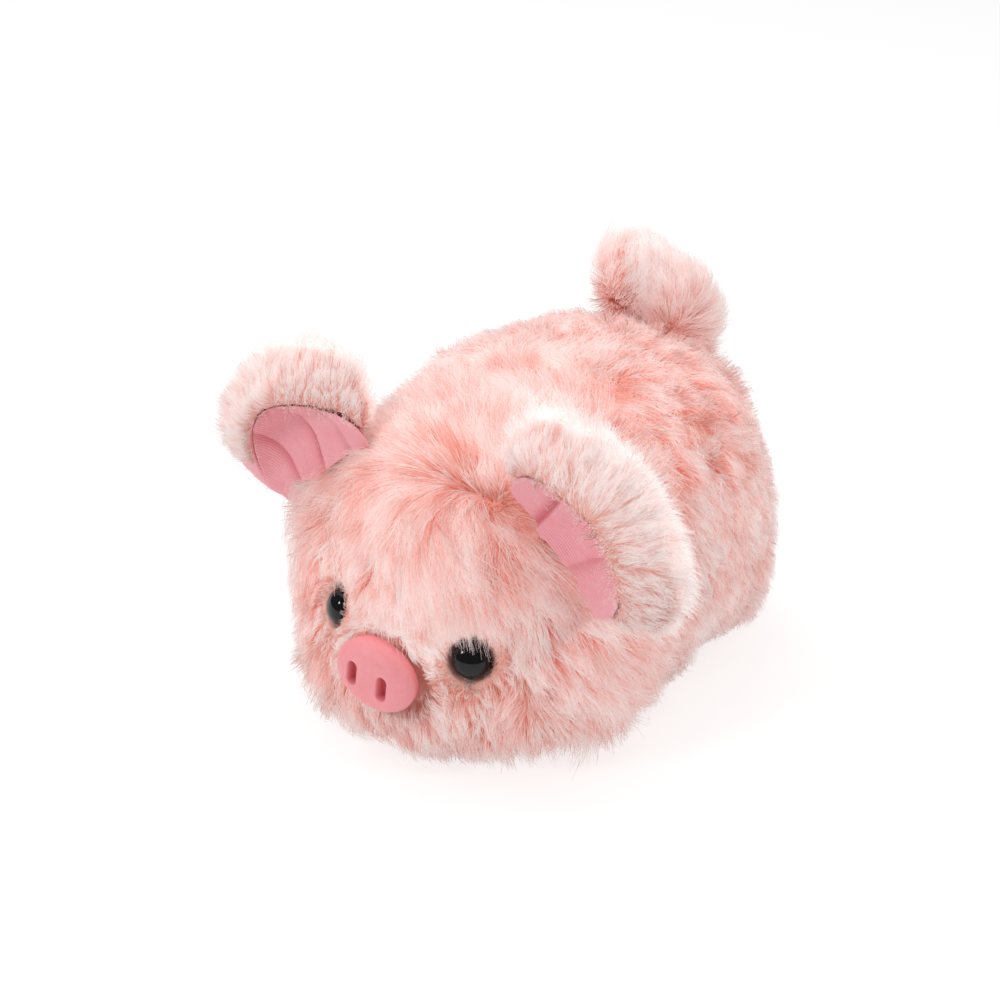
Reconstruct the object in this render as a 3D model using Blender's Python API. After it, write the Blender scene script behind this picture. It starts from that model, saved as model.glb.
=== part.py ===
# A plush pig lying on its belly, built as it is sewn: fur panels over fibre
# filling, lined ears and a curled tail on soft hinges, a moulded snout and eyes.
# Metres, +Z up. The pig faces -Y and its left side is +X. The origin lies on
# the ground under the middle of its length.
import math

import bmesh
import bpy
from mathutils import Matrix, Vector

# Clearances
gap = 0.0003              # between pieces that lie against each other
facet = 0.0003            # room for the flat facets of a round wall
swing_room = 0.0006       # between a swinging base and the fur below it
overrun = 0.004           # how far a cutter passes the face it opens

# Head and body, over the pile
head_length = 0.0855      # from the muzzle back to the neck seam
head_half_width = 0.060
head_height = 0.106
body_length = 0.089       # from the neck seam back to the rump
body_half_width = 0.059
body_height = 0.111
head_cover = 0.0100       # backing cloth with its pile
body_cover = 0.0065
foot_cut = 0.0005         # depth of the flat cut where the toy rests

# Snout
snout_half_width = 0.0154
snout_half_height = 0.0120
snout_thickness = 0.0085
snout_proud = 0.0055      # how far it stands in front of the muzzle fur
snout_height = 0.037      # of its middle above the ground
snout_roll = math.radians(-8)
nostril_width = 0.0034
nostril_height = 0.0074
nostril_depth = 0.003
nostril_spacing = 0.0124
snout_stem_radius = 0.003
snout_stem_length = 0.0160
snout_washer_radius = 0.0085

# Eyes
eye_radius = 0.006
eye_dome = 0.005          # height of the black dome
eye_seat = 0.0090         # how deep its back sits in the fur
eye_socket = 0.0024       # how far the fur is parted round it
eye_height = 0.0475
eye_side = 0.0300         # from the middle plane
eye_stem_radius = 0.0022
eye_stem_length = 0.0170  # from the fur's surface to its end
eye_washer_radius = 0.0065
washer_thickness = 0.0012

# Ears
ear_side = 0.052          # middle of the base seam, from the middle plane
ear_forward = 0.054       # and in front of the toy's middle
ear_seat_reach = 0.020    # how far outside the fur the seat is looked for
ear_base_slope = math.radians(44.4)
ear_lean = math.radians(20)
ear_half_width = 0.0320   # over the pile
ear_height = 0.0365
ear_depth = 0.0185
lining_half_width = 0.0245
lining_height = 0.0280
lining_thickness = 0.0012
cup_depth = 0.0085

# Tail
tail_radius = 0.0112
tail_reach = 0.040        # from its seam to its tip
tail_side = 0.0105
tail_back = 0.0695        # behind the toy's middle
tail_wall = 0.003

# Counts
head_rings = 15
body_rings = 15
side_columns = 12
gusset_columns = 4
belly_columns = 6
outline_points = 96
ear_rows = 10
ear_loop = 22
lining_columns = 10
tail_rings = 15
tail_sides = 16
tail_tip_rings = 2        # solid rings past the end of the bore
round_sides = 24
dome_rings = 6
edge_rings = 5
slot_end_points = 8
search_steps = 60
halvings = 30
crease_angle = math.radians(40)

# Each row of a form: place along it, half width, top, height of the widest
# place, underside, then the squareness above and below. Heights are shares of
# the form's height.
head_shares = [
    (0.000, 0.030, 0.370, 0.349, 0.328, 1.00, 1.00),
    (0.006, 0.320, 0.470, 0.310, 0.180, 1.00, 1.00),
    (0.040, 0.515, 0.526, 0.225, 0.058, 1.00, 0.92),
    (0.100, 0.655, 0.628, 0.215, 0.052, 1.00, 0.88),
    (0.190, 0.850, 0.783, 0.260, 0.044, 0.96, 0.84),
    (0.320, 0.978, 0.892, 0.295, 0.022, 0.87, 0.82),
    (0.510, 1.028, 0.965, 0.297, 0.007, 0.82, 0.74),
    (0.740, 1.012, 1.000, 0.345, 0.000, 0.80, 0.67),
    (0.910, 0.940, 0.997, 0.377, 0.000, 0.78, 0.66),
    (1.000, 0.870, 0.970, 0.390, 0.000, 0.78, 0.68),
]
body_shares = [
    (0.000, 0.890, 0.930, 0.410, 0.000, 0.78, 0.66),
    (0.080, 1.000, 0.995, 0.480, 0.000, 0.71, 0.62),
    (0.240, 1.010, 1.000, 0.435, 0.000, 0.72, 0.60),
    (0.440, 1.005, 0.990, 0.375, 0.000, 0.76, 0.58),
    (0.640, 0.965, 0.940, 0.300, 0.000, 0.86, 0.57),
    (0.790, 0.870, 0.845, 0.290, 0.000, 0.88, 0.59),
    (0.895, 0.780, 0.745, 0.235, 0.002, 0.92, 0.63),
    (0.965, 0.635, 0.588, 0.240, 0.040, 0.97, 0.78),
    (0.993, 0.330, 0.430, 0.245, 0.120, 1.00, 1.00),
    (1.000, 0.012, 0.256, 0.250, 0.244, 1.00, 1.00),
]

# Seams, as shares of half the girth from the top of a form down to its keel
gusset_share = 0.150
belly_share = 0.800

# Each row of an ear: height, half width, front and back face
ear_shares = [
    (0.000, 0.670, -0.050, 0.050),
    (0.080, 0.800, -0.060, 0.220),
    (0.200, 0.930, -0.080, 0.500),
    (0.360, 0.990, -0.100, 0.760),
    (0.520, 1.000, -0.110, 0.920),
    (0.680, 0.940, -0.090, 1.000),
    (0.820, 0.800, -0.020, 1.000),
    (0.920, 0.580, 0.160, 0.960),
    (0.980, 0.320, 0.350, 0.850),
    (1.000, 0.060, 0.540, 0.640),
]
# Each row of the lining: height, half width, cup depth
lining_shares = [
    (0.000, 0.920, 0.060),
    (0.150, 1.000, 0.380),
    (0.320, 0.980, 0.760),
    (0.500, 0.880, 1.000),
    (0.680, 0.720, 0.960),
    (0.840, 0.520, 0.640),
    (0.950, 0.290, 0.260),
    (1.000, 0.060, 0.020),
]
# Each row of the tail: side, back and up from its seam, and its thickness
tail_shares = [
    (0.000, 0.000, 0.000, 0.190),
    (0.002, 0.028, 0.040, 0.500),
    (-0.005, 0.060, 0.100, 0.740),
    (-0.030, 0.090, 0.190, 0.940),
    (-0.080, 0.100, 0.300, 0.970),
    (-0.165, 0.085, 0.412, 0.880),
    (-0.280, 0.032, 0.498, 0.860),
    (-0.408, -0.050, 0.556, 0.970),
    (-0.508, -0.118, 0.592, 0.950),
    (-0.582, -0.168, 0.618, 0.760),
    (-0.630, -0.200, 0.634, 0.400),
]

pink = (0.91, 0.62, 0.59, 1)
pale_pink = (0.93, 0.70, 0.68, 1)
rose = (0.80, 0.24, 0.28, 1)
snout_pink = (0.86, 0.28, 0.31, 1)
off_white = (0.85, 0.84, 0.82, 1)
gloss_black = (0.01, 0.01, 0.012, 1)
clear_grey = (0.70, 0.71, 0.72, 1)

cloth_rough = 0.95
fibre_rough = 1.0
vinyl_rough = 0.55
gloss_rough = 0.12
washer_rough = 0.4


def clear_scene():
    for item in list(bpy.data.objects):
        bpy.data.objects.remove(item, do_unlink=True)


def finish(name, colour, roughness):
    material = bpy.data.materials.new(name)
    material.use_nodes = True
    shader = material.node_tree.nodes["Principled BSDF"]
    shader.inputs["Base Color"].default_value = colour
    shader.inputs["Roughness"].default_value = roughness
    shader.inputs["Metallic"].default_value = 0
    return material


def add_piece(name, points, faces, material, parent=None):
    """Makes one closed solid. Under a parent its points are kept relative to it."""
    origin = parent.location if parent else Vector((0, 0, 0))
    mesh = bpy.data.meshes.new(name)
    mesh.from_pydata([Vector(point) - origin for point in points], [], faces)
    work = bmesh.new()
    work.from_mesh(mesh)
    bmesh.ops.recalc_face_normals(work, faces=work.faces)
    work.to_mesh(mesh)
    work.free()
    mesh.shade_smooth()
    mesh.set_sharp_from_angle(angle=crease_angle)
    piece = bpy.data.objects.new(name, mesh)
    bpy.context.collection.objects.link(piece)
    if parent:
        piece.parent = parent
    if material:
        mesh.materials.append(material)
    return piece


def add_cutter(name, points, faces, parent=None):
    cutter = add_piece(name, points, faces, None, parent)
    cutter.display_type = 'WIRE'
    cutter.hide_render = True
    return cutter


def cut(piece, cutter, solver='EXACT'):
    boolean = piece.modifiers.new(cutter.name, 'BOOLEAN')
    boolean.operation = 'DIFFERENCE'
    boolean.solver = solver
    boolean.object = cutter


def slope(before, after):
    """Slope at a row that keeps a smooth run from overshooting."""
    if before * after <= 0:
        return 0
    return 2 * before * after / (before + after)


def smooth_row(rows, place):
    """Values of a table of shares at a place between its rows."""
    last = len(rows) - 1
    index = min(int(place), last - 1)
    part = place - index
    square = part * part
    cube = square * part
    values = []
    for column in zip(*rows):
        steps = [after - before for before, after in zip(column, column[1:])]
        rise = steps[index]
        leave = slope(steps[index - 1], rise) if index > 0 else rise
        arrive = slope(rise, steps[index + 1]) if index < last - 1 else rise
        values.append(
            column[index] + rise * (3 * square - 2 * cube)
            + leave * (cube - 2 * square + part) + arrive * (cube - square))
    return values


def spread(rows, count):
    """Places of evenly shared rings through a table."""
    return [(len(rows) - 1) * number / (count - 1) for number in range(count)]


def signed_power(value, power):
    return math.copysign(abs(value) ** power, value)


total_length = snout_proud + head_length + body_length
muzzle_y = snout_proud - total_length / 2
neck_y = muzzle_y + head_length
rump_y = neck_y + body_length

head = {
    "rows": head_shares, "closed_y": muzzle_y, "open_y": neck_y - gap / 2,
    "half_width": head_half_width, "height": head_height, "cover": head_cover,
    "hole": snout_stem_radius + gap, "hole_height": snout_height}
body = {
    "rows": body_shares, "closed_y": rump_y, "open_y": neck_y + gap / 2,
    "half_width": body_half_width, "height": body_height, "cover": body_cover,
    "hole": gap, "hole_height": None}

# Fur panels in order round each form: name, first seam, last seam, columns
head_panels = [
    ("head_gusset", -gusset_share, gusset_share, gusset_columns),
    ("head_side_left", gusset_share, 1, side_columns),
    ("head_side_right", -1, -gusset_share, side_columns),
]
body_panels = [
    ("body_side_left", 0, belly_share, side_columns),
    ("belly_panel", belly_share, 2 - belly_share, belly_columns),
    ("body_side_right", -belly_share, 0, side_columns),
]


def ring_values(form, place, inset):
    """Half width, top, widest height, underside, squareness and y of one ring."""
    along, width, top, widest, under, above, below = smooth_row(form["rows"], place)
    closed_first = form["closed_y"] < form["open_y"]
    run = along if closed_first else 1 - along
    pole = form["closed_y"] + math.copysign(inset, form["open_y"] - form["closed_y"])
    y = pole + (form["open_y"] - pole) * run
    middle = widest * form["height"]
    if form["hole_height"] is not None:
        pull = max(0, 1 - run * len(form["rows"]))
        middle += (form["hole_height"] - middle) * pull
    half = max(width * form["half_width"] - inset, form["hole"])
    upper = max(top * form["height"] - inset - middle, form["hole"])
    lower = max(middle - under * form["height"] + foot_cut - inset, form["hole"])
    return half, upper, lower, middle, above, below, y


def outline(form, place, inset):
    """Half of one ring, from the top down its +X side to the keel."""
    half, upper, lower, middle, above, below, y = ring_values(form, place, inset)
    points = []
    for number in range(outline_points + 1):
        angle = math.pi * number / outline_points
        side = math.sin(angle)
        rise = math.cos(angle)
        power = above if rise >= 0 else below
        x = half * signed_power(side, power) if 0 < number < outline_points else 0
        z = middle + (upper if rise >= 0 else lower) * signed_power(rise, power)
        points.append(Vector((x, y, max(z, inset))))
    return points


def girth_point(points, length):
    """Point at a length along an outline, past either end on the other side."""
    total = sum((b - a).length for a, b in zip(points, points[1:]))
    mirror = length < 0 or length > total
    if length < 0:
        length = -length
    if length > total:
        length = 2 * total - length
    for start, end in zip(points, points[1:]):
        piece = (end - start).length
        if length <= piece:
            break
        length -= piece
    spot = start.lerp(end, min(length / piece, 1)) if piece else start.copy()
    if mirror:
        spot.x = -spot.x
    return spot


def panel_grid(form, rings, columns, first_share, last_share, inset):
    """Rows of points of one fur panel between two seams."""
    grid = []
    for place in spread(form["rows"], rings):
        points = outline(form, place, inset)
        total = sum((b - a).length for a, b in zip(points, points[1:]))
        trim = min(gap / 2, total * (last_share - first_share) / columns)
        start = first_share * total + trim
        end = last_share * total - trim
        row = []
        for number in range(columns + 1):
            row.append(girth_point(points, start + (end - start) * number / columns))
        grid.append(row)
    return grid


def sheet_solid(outer, inner):
    """Points and faces of a solid between two grids of the same size."""
    rows = len(outer)
    columns = len(outer[0])
    points = [point for row in outer for point in row]
    points += [point for row in inner for point in row]
    below = rows * columns

    def at(row, column):
        return row * columns + column

    faces = []
    for row in range(rows - 1):
        for column in range(columns - 1):
            quad = [at(row, column), at(row, column + 1),
                    at(row + 1, column + 1), at(row + 1, column)]
            faces.append(quad)
            faces.append([below + number for number in reversed(quad)])
    edge = [at(0, column) for column in range(columns)]
    edge += [at(row, columns - 1) for row in range(1, rows)]
    edge += [at(rows - 1, column) for column in range(columns - 2, -1, -1)]
    edge += [at(row, 0) for row in range(rows - 2, 0, -1)]
    for start, end in zip(edge, edge[1:] + edge[:1]):
        if start < end:
            faces.append([end, start, below + end])
            faces.append([start, below + start, below + end])
        else:
            faces.append([end, start, below + start])
            faces.append([end, below + start, below + end])
    return points, faces


def cover(form, panels, rings, material):
    """Fur panels of a form, by name."""
    pieces = {}
    for name, first_share, last_share, columns in panels:
        outer = panel_grid(form, rings, columns, first_share, last_share, 0)
        inner = panel_grid(form, rings, columns, first_share, last_share, form["cover"])
        points, faces = sheet_solid(outer, inner)
        pieces[name] = add_piece(name, points, faces, material)
    return pieces


def loft(loops, strip_start=False):
    """Points and faces of a solid through loops, closed by a cap at each end."""
    count = len(loops[0])
    points = [point for loop in loops for point in loop]
    faces = []
    for row in range(len(loops) - 1):
        for number in range(count):
            after = (number + 1) % count
            a = row * count
            faces.append([a + number, a + after, a + count + after, a + count + number])
    if strip_start:
        for number in range(count // 2):
            quad = [number, number + 1, (count - number - 1) % count, (count - number) % count]
            faces.append(list(dict.fromkeys(quad)))
    else:
        faces.append(list(range(count)))
    faces.append([len(points) - 1 - number for number in range(count)])
    return points, faces


def filling(name, form, panels, rings, material):
    """Stuffed core of a form, just inside its cover and in line with its facets."""
    inset = form["cover"] + gap + facet
    loops = []
    for place in spread(form["rows"], rings):
        points = outline(form, place, inset)
        total = sum((b - a).length for a, b in zip(points, points[1:]))
        loop = []
        for _, first_share, last_share, columns in panels:
            for number in range(columns):
                share = first_share + (last_share - first_share) * number / columns
                loop.append(girth_point(points, share * total))
        loops.append(loop)
    points, faces = loft(loops)
    return add_piece(name, points, faces, material)


def is_inside(form, point, inset):
    """Whether a point lies inside a form drawn in by an inset."""
    rows = form["rows"]
    low = 0
    high = len(rows) - 1
    first_y = ring_values(form, low, inset)[-1]
    last_y = ring_values(form, high, inset)[-1]
    if not first_y <= point.y <= last_y:
        return False
    for _ in range(halvings):
        middle = (low + high) / 2
        if ring_values(form, middle, inset)[-1] < point.y:
            low = middle
        else:
            high = middle
    half, upper, lower, centre, above, below, _ = ring_values(form, low, inset)
    rise = point.z - centre
    power = 2 / (above if rise >= 0 else below)
    reach = upper if rise >= 0 else lower
    return abs(point.x / half) ** power + abs(rise / reach) ** power < 1


def depth_to(form, start, direction, inset=0):
    """Length from an outside point along a direction to a form's surface."""
    reach = form["half_width"]
    low = 0
    high = reach
    for number in range(1, search_steps + 1):
        length = reach * number / search_steps
        if is_inside(form, start + direction * length, inset):
            low = reach * (number - 1) / search_steps
            high = length
            break
    for _ in range(halvings):
        middle = (low + high) / 2
        if is_inside(form, start + direction * middle, inset):
            high = middle
        else:
            low = middle
    return high


def surface_normal(form, spot, into, probe):
    """Outward direction at a point of a form, from four points round it."""
    normal = -into
    first = into.orthogonal().normalized()
    for side in (first, into.cross(first)):
        start = spot - into * form["half_width"] / 2
        rise = depth_to(form, start + side * probe, into) - depth_to(form, start - side * probe, into)
        normal += side * (rise / (2 * probe))
    return normal.normalized()


def frame_along(direction, roll=0):
    """Rotation whose Z runs along a direction and whose Y points up."""
    z_axis = direction.normalized()
    x_axis = Vector((0, 0, 1)).cross(z_axis).normalized()
    y_axis = z_axis.cross(x_axis)
    turn = Matrix((x_axis, y_axis, z_axis)).transposed()
    return turn @ Matrix.Rotation(roll, 3, 'Z')


def oval_loop(origin, turn, half_width, half_height, depth, sides):
    loop = []
    for number in range(sides):
        angle = 2 * math.pi * number / sides
        local = Vector((half_width * math.cos(angle), half_height * math.sin(angle), depth))
        loop.append(origin + turn @ local)
    return loop


def turned(origin, turn, profile, sides):
    """Solid turned about an axis. The profile holds radius and depth pairs."""
    return loft([oval_loop(origin, turn, radius, radius, depth, sides)
                 for radius, depth in profile])


def washer(name, origin, turn, radius, hole, depth, material):
    """Flat ring pushed on a stem, at a depth behind its seat."""
    loops = [oval_loop(origin, turn, size, size, place, round_sides)
             for size, place in ((radius, depth), (radius, depth - washer_thickness),
                                 (hole, depth - washer_thickness), (hole, depth))]
    points = [point for loop in loops for point in loop]
    faces = []
    for row in range(len(loops)):
        a = row * round_sides
        b = (row + 1) % len(loops) * round_sides
        for number in range(round_sides):
            after = (number + 1) % round_sides
            faces.append([a + number, a + after, b + after, b + number])
    return add_piece(name, points, faces, material)


def washer_depth(form, origin, turn, radius):
    """Depth at which a flat washer clears the curved inside of the cover."""
    z_axis = turn @ Vector((0, 0, 1))
    start = origin + z_axis * form["cover"]
    deepest = 0
    for spot in oval_loop(start, turn, radius, radius, 0, round_sides // 2):
        deepest = max(deepest, depth_to(form, spot, -z_axis, form["cover"]))
    return form["cover"] - deepest - gap - facet


def stem_pocket(name, origin, turn, stem, stem_end, wide, wide_top, wide_end):
    """Cutter that frees a stem and its washer inside the filling."""
    profile = [(stem, stem_end), (stem, wide_end), (wide, wide_end), (wide, wide_top)]
    points, faces = turned(origin, turn, profile, round_sides)
    return add_cutter(name, points, faces)


def add_eye(name, side, covers, core, materials):
    """Domed eye on a stem through the fur, with its washer behind the cloth."""
    into = Vector((0, 1, 0))
    start = Vector((side * eye_side, muzzle_y - overrun, eye_height))
    spot = start + into * depth_to(head, start, into)
    turn = frame_along(surface_normal(head, spot, into, eye_radius / 2))
    flange = eye_radius / 8
    stem_end = -eye_stem_length
    profile = [(eye_stem_radius / 2, stem_end), (eye_stem_radius, stem_end + eye_stem_radius / 2),
               (eye_stem_radius, -eye_seat), (eye_radius - flange, -eye_seat),
               (eye_radius, flange - eye_seat)]
    rise = eye_dome - flange
    for number in range(1, dome_rings + 1):
        angle = math.pi / 2 * number / (dome_rings + 1 / 2)
        profile.append((eye_radius * math.cos(angle), flange - eye_seat + rise * math.sin(angle)))
    points, faces = turned(spot, turn, profile, round_sides)
    add_piece(name, points, faces, materials["eye"])

    hole = eye_stem_radius + gap
    wide = eye_radius + gap
    floor = -eye_seat - gap
    seat = [(hole, -head_cover - overrun), (hole, floor), (wide, floor), (wide, flange - eye_seat),
            (wide + eye_socket, 0), (wide + eye_socket, overrun)]
    points, faces = turned(spot, turn, seat, round_sides)
    cutter = add_cutter(name + "_seat_cutter", points, faces)
    for cover in covers:
        cut(cover, cutter)

    top = washer_depth(head, spot, turn, eye_washer_radius)
    washer(name + "_washer", spot, turn, eye_washer_radius, eye_stem_radius + gap, top,
           materials["washer"])
    pocket = stem_pocket(name + "_pocket_cutter", spot, turn, eye_stem_radius + gap,
                         -eye_stem_length - gap, eye_washer_radius + gap, overrun,
                         top - washer_thickness - gap)
    cut(core, pocket)


def add_snout(covers, core, materials):
    """Moulded oval nose with two slots, on a stem through the muzzle."""
    origin = Vector((0, muzzle_y, snout_height))
    turn = frame_along(Vector((0, -1, 0)), snout_roll)
    back = snout_proud - snout_thickness
    loops = []
    for radius, depth in ((snout_stem_radius / 2, -snout_stem_length),
                          (snout_stem_radius, snout_stem_radius / 2 - snout_stem_length),
                          (snout_stem_radius, back)):
        loops.append(oval_loop(origin, turn, radius, radius, depth, round_sides))
    edge = snout_half_height / 3
    rim = [(edge / 4, back), (0, back + edge / 4)]
    for number in range(edge_rings + 1):
        angle = math.pi / 2 * number / edge_rings
        rim.append((edge * (1 - math.cos(angle)), snout_proud - edge * (1 - math.sin(angle))))
    for inward, depth in rim:
        loops.append(oval_loop(origin, turn, snout_half_width - inward,
                               snout_half_height - inward, depth, round_sides))
    points, faces = loft(loops)
    nose = add_piece("snout", points, faces, materials["snout"])

    for side, label in ((-1, "right"), (1, "left")):
        middle = origin + turn @ Vector((side * nostril_spacing / 2, 0, 0))
        slot = []
        for depth in (snout_proud - nostril_depth, snout_proud + overrun):
            slot.append(slot_loop(middle, depth))
        points, faces = loft(slot)
        cut(nose, add_cutter("nostril_" + label + "_cutter", points, faces))

    seat = [oval_loop(origin, turn, snout_half_width + gap, snout_half_height + gap,
                      depth, round_sides) for depth in (back - gap, snout_proud + overrun)]
    points, faces = loft(seat)
    seat_cutter = add_cutter("snout_seat_cutter", points, faces)
    for cover in covers:
        cut(cover, seat_cutter, 'MANIFOLD')

    top = washer_depth(head, origin, turn, snout_washer_radius)
    washer("snout_washer", origin, turn, snout_washer_radius, snout_stem_radius + gap, top,
           materials["washer"])
    pocket = stem_pocket("snout_pocket_cutter", origin, turn, snout_stem_radius + gap,
                         -snout_stem_length - gap, snout_washer_radius + gap, overrun,
                         top - washer_thickness - gap)
    cut(core, pocket)


def slot_loop(middle, depth):
    """Upright slot with round ends, at a depth in front of the muzzle."""
    radius = nostril_width / 2
    straight = nostril_height / 2 - radius
    loop = []
    for number in range(2 * slot_end_points):
        end = 1 if number < slot_end_points else -1
        angle = math.pi * (number % slot_end_points) / (slot_end_points - 1)
        x = end * radius * math.cos(angle)
        z = end * (straight + radius * math.sin(angle))
        loop.append(middle + Vector((x, -depth, z)))
    return loop


def ear_frame(side):
    """Seat, base direction, height direction and backward direction of an ear."""
    base = Vector((side * math.cos(ear_base_slope), 0, -math.sin(ear_base_slope)))
    outward = Vector((side * math.sin(ear_base_slope), 0, math.cos(ear_base_slope)))
    backward = Vector((0, 1, 0))
    start = Vector((side * ear_side, -ear_forward, 0))
    start.z = head_height * (1 - math.sin(ear_base_slope) / 4)
    start = start + outward * ear_seat_reach
    seat = start - outward * depth_to(head, start, -outward)
    upward = outward * math.cos(ear_lean) - backward * math.sin(ear_lean)
    behind = backward * math.cos(ear_lean) + outward * math.sin(ear_lean)
    return seat, base, upward, behind


def seat_on_head(point, upward):
    """Drops a point of an ear's base to just above the head's fur."""
    start = point + upward * ear_seat_reach
    return start - upward * (depth_to(head, start, -upward) - swing_room)


def lining_grid(frame, extra, drop):
    """Points of the ear's cup, moved back by an extra depth, down to the head."""
    seat, base, upward, behind = frame
    grid = []
    for number, place in enumerate(spread(lining_shares, ear_rows)):
        height, width, depth = smooth_row(lining_shares, place)
        row = []
        for column in range(lining_columns + 1):
            across = 2 * column / lining_columns - 1
            hollow = depth * cup_depth * (1 - across * across) + extra
            point = seat + base * (across * width * lining_half_width)
            point = point + upward * (height * lining_height) + behind * hollow
            if number == 0:
                point = seat_on_head(point, upward) - upward * drop
            row.append(point)
        grid.append(row)
    return grid


def add_ear(label, side, materials):
    """Fur back and cloth lining of one ear, on the hinge of its base seam."""
    frame = ear_frame(side)
    seat, base, upward, behind = frame
    pivot = bpy.data.objects.new("ear_" + label + "_pivot", None)
    pivot.location = seat + upward * swing_room
    bpy.context.collection.objects.link(pivot)

    loops = []
    for number, place in enumerate(spread(ear_shares, ear_rows)):
        height, width, front, back = smooth_row(ear_shares, place)
        middle = (front + back) / 2 * ear_depth
        half = (back - front) / 2 * ear_depth
        loop = []
        for corner in range(ear_loop):
            angle = 2 * math.pi * corner / ear_loop
            across = width * ear_half_width * math.cos(angle)
            point = seat + base * across + upward * (height * ear_height)
            point = point + behind * (middle + half * math.sin(angle))
            if number == 0:
                point = seat_on_head(point, upward)
            loop.append(point)
        loops.append(loop)
    points, faces = loft(loops, strip_start=True)
    back_piece = add_piece("ear_" + label + "_back", points, faces, materials["fur_pale"], pivot)

    front_grid = lining_grid(frame, -ear_depth, overrun)
    hollow_grid = lining_grid(frame, lining_thickness + gap + facet, overrun)
    points, faces = sheet_solid(grown(hollow_grid, frame), grown(front_grid, frame))
    cut(back_piece, add_cutter("ear_" + label + "_cup_cutter", points, faces, pivot))

    points, faces = sheet_solid(lining_grid(frame, 0, 0), lining_grid(frame, lining_thickness, 0))
    add_piece("ear_" + label + "_lining", points, faces, materials["lining"], pivot)


def grown(grid, frame):
    """Widens the cup's outline all round."""
    _, base, upward, _ = frame
    room = gap + facet
    for row in grid:
        row[0] -= base * room
        row[-1] += base * room
    for number in range(len(grid[-1])):
        grid[-1][number] += upward * room
    return grid


def tail_loops(seat, normal, wall):
    """Loops of the curled tail, with its thickness drawn in by a wall."""
    centres = []
    sizes = []
    for place in spread(tail_shares, tail_rings):
        side, back, up, size = smooth_row(tail_shares, place)
        centres.append(seat + Vector((side, back, up)) * tail_reach)
        sizes.append(max(size * tail_radius - wall, tail_radius / tail_sides))
    loops = []
    across = Vector((1, 0, 0))
    for number, centre in enumerate(centres):
        before = centres[max(number - 1, 0)]
        after = centres[min(number + 1, tail_rings - 1)]
        along = (after - before).normalized() if number else normal
        across = (across - along * across.dot(along)).normalized()
        turn = Matrix((across, along.cross(across), along)).transposed()
        loops.append(oval_loop(centre, turn, sizes[number], sizes[number], 0, tail_sides))
    return loops


def add_tail(materials):
    """Curled tail of fur over filling, on the hinge of its seam."""
    into = Vector((0, 0, -1))
    start = Vector((tail_side, tail_back, body_height + overrun))
    spot = start + into * depth_to(body, start, into)
    normal = surface_normal(body, spot, into, tail_radius / 2)
    seat = spot + normal * swing_room
    pivot = bpy.data.objects.new("tail_pivot", None)
    pivot.location = seat
    bpy.context.collection.objects.link(pivot)
    bore = tail_loops(seat, normal, tail_wall)[:-tail_tip_rings]
    points, faces = loft(bore[::-1] + tail_loops(seat, normal, 0))
    add_piece("tail_cover", points, faces, materials["fur"], pivot)
    core = tail_loops(seat, normal, tail_wall + gap + facet)
    points, faces = loft(core[1:-tail_tip_rings - 1])
    add_piece("tail_filling", points, faces, materials["fibre"], pivot)


def build():
    clear_scene()
    materials = {
        "fur": finish("pink_fur", pink, cloth_rough),
        "fur_pale": finish("pale_fur", pale_pink, cloth_rough),
        "lining": finish("rose_lining", rose, cloth_rough),
        "snout": finish("snout_vinyl", snout_pink, vinyl_rough),
        "fibre": finish("white_fibre", off_white, fibre_rough),
        "eye": finish("black_gloss", gloss_black, gloss_rough),
        "washer": finish("clear_plastic", clear_grey, washer_rough),
    }
    head_cover = cover(head, head_panels, head_rings, materials["fur"])
    head_core = filling("head_filling", head, head_panels, head_rings, materials["fibre"])
    cover(body, body_panels, body_rings, materials["fur"])
    filling("body_filling", body, body_panels, body_rings, materials["fibre"])
    add_eye("eye_left", 1, [head_cover["head_side_left"]], head_core, materials)
    add_eye("eye_right", -1, [head_cover["head_side_right"]], head_core, materials)
    add_snout(head_cover.values(), head_core, materials)
    add_ear("left", 1, materials)
    add_ear("right", -1, materials)
    add_tail(materials)


build()
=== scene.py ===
import math

import bmesh
import bpy
import numpy as np
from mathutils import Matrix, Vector, noise
from mathutils.bvhtree import BVHTree


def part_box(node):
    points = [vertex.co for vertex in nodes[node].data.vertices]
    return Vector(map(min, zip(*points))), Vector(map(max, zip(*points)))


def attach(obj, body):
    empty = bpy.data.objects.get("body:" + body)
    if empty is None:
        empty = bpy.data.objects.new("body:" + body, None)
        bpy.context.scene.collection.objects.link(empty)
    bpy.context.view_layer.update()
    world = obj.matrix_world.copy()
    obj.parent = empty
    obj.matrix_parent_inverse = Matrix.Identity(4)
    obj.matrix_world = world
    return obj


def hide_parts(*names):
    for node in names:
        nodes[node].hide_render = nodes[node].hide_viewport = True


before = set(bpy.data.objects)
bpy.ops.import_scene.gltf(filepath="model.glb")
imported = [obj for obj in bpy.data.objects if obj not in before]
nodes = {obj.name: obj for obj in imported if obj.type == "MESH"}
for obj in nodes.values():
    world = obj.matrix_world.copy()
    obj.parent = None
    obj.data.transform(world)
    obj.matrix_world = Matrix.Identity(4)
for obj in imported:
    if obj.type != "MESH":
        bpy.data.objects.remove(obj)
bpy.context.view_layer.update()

# A plush pig: fur panels over filling, lined ears, a curled tail, a moulded nose and safety eyes.
# Metres, +Z up. The pig faces -Y and its left side is +X.
millimetre = 0.001
print("frame loaded")


# Helpers for meshes

def addObject(name, mesh):
    piece = bpy.data.objects.new(name, mesh)
    bpy.context.collection.objects.link(piece)
    return piece


def mergedCopy(name, nodeName):
    work = bmesh.new()
    work.from_mesh(nodes[nodeName].data)
    bmesh.ops.remove_doubles(work, verts=work.verts, dist=0.01 * millimetre)
    mesh = bpy.data.meshes.new(name)
    work.to_mesh(mesh)
    work.free()
    return addObject(name, mesh)


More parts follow.
